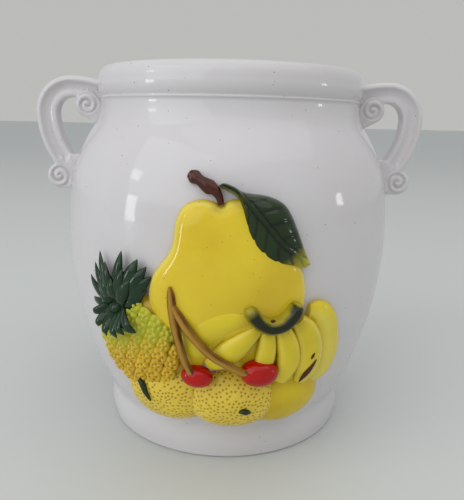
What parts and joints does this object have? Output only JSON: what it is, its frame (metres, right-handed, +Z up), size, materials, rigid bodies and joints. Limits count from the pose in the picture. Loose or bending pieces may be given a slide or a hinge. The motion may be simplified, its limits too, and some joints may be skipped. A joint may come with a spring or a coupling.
{
  "type": "rumtopf pot",
  "caption": "Bellied glazed stoneware jar with a rolled rim, low foot ring, two scroll handles and a raised fruit relief on the front, standing open.",
  "frame": {"origin": "on the pot's axis, at the level of the foot that it stands on", "axes": "+Z up along the pot's axis, +X towards the right handle, the fruit relief faces -Y"},
  "size_m": [0.2526, 0.2226, 0.2302],
  "materials": {
    "white_glaze": "gloss",
    "pear_glaze": "gloss",
    "twig_glaze": "gloss",
    "leaf_glaze": "gloss",
    "pineapple_glaze": "gloss",
    "crown_glaze": "gloss",
    "banana_glaze": "gloss",
    "banana_crown_glaze": "gloss",
    "quince_glaze": "gloss",
    "orange_glaze": "gloss",
    "cherry_glaze": "gloss",
    "stalk_glaze": "gloss"
  },
  "bodies": {
    "root": {"pot_body": "white_glaze", "left_handle": "white_glaze", "right_handle": "white_glaze", "pear": "pear_glaze", "pear_twig": "twig_glaze", "pear_leaf": "leaf_glaze", "pineapple_fruit": "pineapple_glaze", "pineapple_crown": "crown_glaze", "outer_banana": "banana_glaze", "banana_1": "banana_glaze", "banana_2": "banana_glaze", "banana_3": "banana_glaze", "banana_4": "banana_glaze", "banana_5": "banana_glaze", "banana_crown": "banana_crown_glaze", "quince": "quince_glaze", "left_orange": "orange_glaze", "front_orange": "orange_glaze", "left_orange_stem": "leaf_glaze", "front_orange_stem": "leaf_glaze", "left_cherry": "cherry_glaze", "right_cherry": "cherry_glaze", "left_cherry_stalk": "stalk_glaze", "right_cherry_stalk": "stalk_glaze"}
  },
  "joints": []
}
